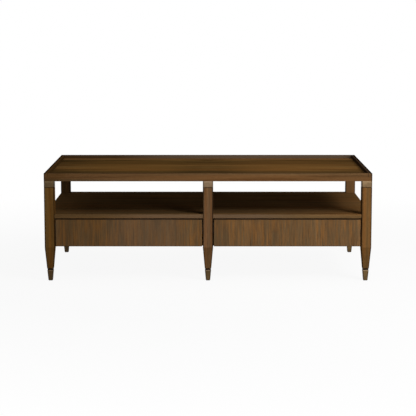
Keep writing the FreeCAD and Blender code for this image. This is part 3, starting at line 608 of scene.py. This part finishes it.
def screwHead():
    shape = bmesh.new()
    bmesh.ops.create_cone(shape, cap_ends=True, segments=screw["sides"], radius1=screw["radius"],
                          radius2=screw["radius"], depth=screw["rise"],
                          matrix=Matrix.Translation((0, 0, screw["rise"] / 2)))
    upper = [edge for edge in shape.edges if all(vert.co.z > screw["rise"] / 2 for vert in edge.verts)]
    bmesh.ops.bevel(shape, geom=upper, offset=screw["easing"], offset_type="OFFSET", affect="EDGES",
                    segments=screw["easingSteps"], profile=0.5, material=-1)
    top = max(shape.faces, key=lambda face: face.calc_center_median().z)
    bmesh.ops.inset_region(shape, faces=[top], thickness=screw["easing"])
    top = max(shape.faces, key=lambda face: (face.calc_center_median().z, len(face.verts)))
    for vert in top.verts:
        angle = math.atan2(vert.co.y, vert.co.x)
        onArm = abs(math.sin(2 * angle)) < screw["armShare"]
        length = screw["crossWide"] if onArm else screw["crossNarrow"]
        vert.co.x, vert.co.y = length * math.cos(angle), length * math.sin(angle)
    sunk = bmesh.ops.extrude_face_region(shape, geom=[top])
    bmesh.ops.delete(shape, geom=[top], context="FACES")
    floor = [item for item in sunk["geom"] if isinstance(item, bmesh.types.BMVert)]
    bmesh.ops.translate(shape, verts=floor, vec=(0, 0, -screw["crossDepth"]))
    bmesh.ops.scale(shape, verts=floor, vec=(screw["floorShare"], screw["floorShare"], 1))
    bmesh.ops.recalc_face_normals(shape, faces=shape.faces)
    return shape


# the thickness of the slides' steel, and where their screws are, from the front end
slides = {"steel": 0.0012, "outerScrews": (0.023, 0.430, 0.560), "innerScrews": (0.023, 0.300, 0.577)}


def slideScrews(side):
    low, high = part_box(f"{side}_slide_outer")
    level = (low.z + high.z) / 2
    outerPlaces, innerPlaces = [], []
    boardLow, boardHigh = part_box(f"{side}_box_side_left")[0].x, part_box(f"{side}_box_side_right")[1].x
    for start in slides["outerScrews"]:
        outerPlaces.append(facing(1, (low.x + slides["steel"], low.y + start, level)))
        outerPlaces.append(facing(-1, (high.x - slides["steel"], low.y + start, level)))
    for start in slides["innerScrews"]:
        innerPlaces.append(facing(-1, (boardLow - slides["steel"], low.y + start, level)))
        innerPlaces.append(facing(1, (boardHigh + slides["steel"], low.y + start, level)))
    for name, places, body in (("cleat", outerPlaces, "table"), ("box", innerPlaces, f"{side}_drawer")):
        newPiece(f"{side}_{name}_screws", repeat(screwHead(), places), "zincSteel", body)


cages = {
    "ball": 0.0035, "ballSides": 8, "ballRings": 6, "pitch": 0.0105, "endRoom": 0.006, "plate": 0.0006,
    "reach": {"outer": 0.0072, "inner": 0.0050},
}


def plate(shape, low, high):
    made = bmesh.ops.create_cube(shape, size=1.0)["verts"]
    middle = [(a + b) / 2 for a, b in zip(low, high)]
    lengths = [b - a for a, b in zip(low, high)]
    bmesh.ops.scale(shape, verts=made, vec=lengths)
    bmesh.ops.translate(shape, verts=made, vec=middle)


def ballCages(side, kind):
    node = f"{side}_{kind}_ball_cages"
    low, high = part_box(node)
    reach, thick, ball = cages["reach"][kind], cages["plate"], cages["ball"]
    strips = bmesh.new()
    ballPlaces = []
    for web, way in ((low.x, 1), (high.x, -1)):
        far = web + way * reach
        innerFace = web + way * thick
        plate(strips, (min(web, innerFace), low.y, low.z + ball / 2 - thick / 2),
              (max(web, innerFace), high.y, high.z - ball / 2 + thick / 2))
        for level in (low.z + ball / 2, high.z - ball / 2):
            plate(strips, (min(innerFace, far), low.y, level - thick / 2),
                  (max(innerFace, far), high.y, level + thick / 2))
            count = int((high.y - low.y - 2 * cages["endRoom"]) / cages["pitch"])
            for number in range(count + 1):
                y = low.y + cages["endRoom"] + number * cages["pitch"]
                ballPlaces.append(Matrix.Translation((web + way * (reach / 2 + thick / 2), y, level)))
    oneBall = bmesh.new()
    bmesh.ops.create_uvsphere(oneBall, u_segments=cages["ballSides"], v_segments=cages["ballRings"],
                              radius=ball / 2)
    row = repeat(oneBall, ballPlaces)
    body = f"{side}_{kind}_cages"
    balls = newPiece(f"{side}_{kind}_balls", row, "ballSteel", body)
    strip = newPiece(f"{side}_{kind}_cage_strips", strips, "cageSteel", body)
    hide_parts(node)
    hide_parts(node)


bumper = {"radius": 0.004, "rise": 0.0016, "steps": 20, "merge": 1e-6,
          "fromEnd": 0.03, "underRailTop": 0.0075,
          "domeShares": ((0, 1), (0.55, 0.93), (0.88, 0.62), (1, 0))}  # of the radius and of the rise


def drawerBumpers(side):
    # soft buttons on the back of the drawer front, where it meets the rail
    profile = bmesh.new()
    line = [profile.verts.new((bumper["radius"] * out, 0, bumper["rise"] * up))
            for out, up in bumper["domeShares"]]
    edges = [profile.edges.new(pair) for pair in zip(line, line[1:])]
    bmesh.ops.spin(profile, geom=line + edges, cent=(0, 0, 0), axis=(0, 0, 1), angle=math.tau,
                   steps=bumper["steps"], use_merge=True)
    bmesh.ops.remove_doubles(profile, verts=profile.verts, dist=bumper["merge"])
    bmesh.ops.holes_fill(profile, edges=profile.edges, sides=0)
    bmesh.ops.recalc_face_normals(profile, faces=profile.faces)
    low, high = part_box(f"{side}_drawer_front")
    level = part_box(f"front_rail_{side}")[1].z - bumper["underRailTop"]
    turn = Matrix.Rotation(math.radians(-90), 4, "X")
    places = [Matrix.Translation((x, high.y, level)) @ turn
              for x in (low.x + bumper["fromEnd"], high.x - bumper["fromEnd"])]
    newPiece(f"{side}_bumpers", repeat(profile, places), "padPlastic", f"{side}_drawer")


for side in ("left", "right"):
    slideScrews(side)
    drawerBumpers(side)
    for kind in ("outer", "inner"):
        ballCages(side, kind)
print("slide screws, ball cages and bumpers added")


# Floor, light and camera

studio = {
    "floorSize": 14.0,
    "floorColour": (0.8, 0.8, 0.8, 1.0),
    "floorGlow": 0.92,  # the floor's glow for the camera near the table, which leaves room for the shadow
    "glowRise": (1.1, 2.6),  # from here to here, out from the table, the glow rises to full white
    "ambient": 0.2,
    "lamps": {
        "keyLight": {"place": (2.1, -2.2, 2.2), "aim": (0.4, -0.1, 0.3), "size": (1.2, 1.0), "spread": 75,
                     "power": 9.5},
        "fillLight": {"place": (2.0, -3.2, 0.75), "aim": (0.6, -0.2, 0.3), "size": (1.6, 1.0), "spread": 110,
                      "power": 22},
        "topLight": {"place": (0.9, -0.3, 3.0), "aim": (0.3, -0.1, 0.4), "size": (2.4, 1.6), "spread": 180,
                     "power": 20},
        "backLight": {"place": (-0.8, 3.6, 1.0), "aim": (0, 0.2, 0.3), "size": (2.4, 1.0), "spread": 180,
                      "power": 28},
    },
}
white = (1, 1, 1, 1)


def stageFloor():
    shape = bmesh.new()
    bmesh.ops.create_grid(shape, x_segments=1, y_segments=1, size=studio["floorSize"] / 2)
    floorMesh = bpy.data.meshes.new("floor")
    shape.to_mesh(floorMesh)
    shape.free()
    floor = bpy.data.objects.new("floor", floorMesh)
    bpy.context.scene.collection.objects.link(floor)
    finish = Finish("paleFloor")
    diffuse = finish.node("ShaderNodeBsdfDiffuse", None, {"Color": studio["floorColour"]})
    glow = finish.node("ShaderNodeEmission", None, {"Color": white, "Strength": 1.0})
    distance = finish.node("ShaderNodeVectorMath", {"operation": "LENGTH"}, {
        0: finish.node("ShaderNodeTexCoord", out="Object")}, "Value")
    rise = finish.remap(distance, *studio["glowRise"], studio["floorGlow"], 1.0)
    mixed = finish.node("ShaderNodeMixShader", None, {0: finish.backdropRays() * rise, 1: diffuse, 2: glow})
    finish.node("ShaderNodeOutputMaterial", None, {"Surface": mixed})
    floorMesh.materials.append(finish.owner)


def lightRoom():
    room = Finish("room", bpy.data.worlds)
    bpy.context.scene.world = room.owner
    level = room.remap(room.backdropRays(), 0, 1, studio["ambient"], 1.0)
    background = room.node("ShaderNodeBackground", None, {"Color": white, "Strength": level})
    room.node("ShaderNodeOutputWorld", None, {"Surface": background})
    for name, lamp in studio["lamps"].items():
        light = bpy.data.lights.new(name, "AREA")
        light.shape = "RECTANGLE"
        light.size, light.size_y = lamp["size"]
        light.energy = lamp["power"]
        light.spread = math.radians(lamp["spread"])
        holder = bpy.data.objects.new(name, light)
        bpy.context.scene.collection.objects.link(holder)
        holder.location = lamp["place"]
        direction = Vector(lamp["aim"]) - Vector(lamp["place"])
        holder.rotation_euler = direction.to_track_quat("-Z", "Y").to_euler()


# as in the photograph, level with its lens shifted down, but tilted down instead, without the shift
view = {"place": (0.0, -6.565, 1.161), "downTilt": 7.83, "lens": 129.05, "sensor": 36.0, "farClip": 100}


def setCamera():
    cameraData = bpy.data.cameras.new("frontView")
    cameraData.sensor_width = view["sensor"]
    cameraData.lens = view["lens"]
    cameraData.clip_end = view["farClip"]
    camera = bpy.data.objects.new("frontView", cameraData)
    bpy.context.scene.collection.objects.link(camera)
    camera.location = view["place"]
    camera.rotation_euler = (math.radians(90 - view["downTilt"]), 0, 0)
    bpy.context.scene.camera = camera


stageFloor()
lightRoom()
setCamera()
bpy.context.scene.view_settings.view_transform = "Standard"
print("floor, lights and camera set")
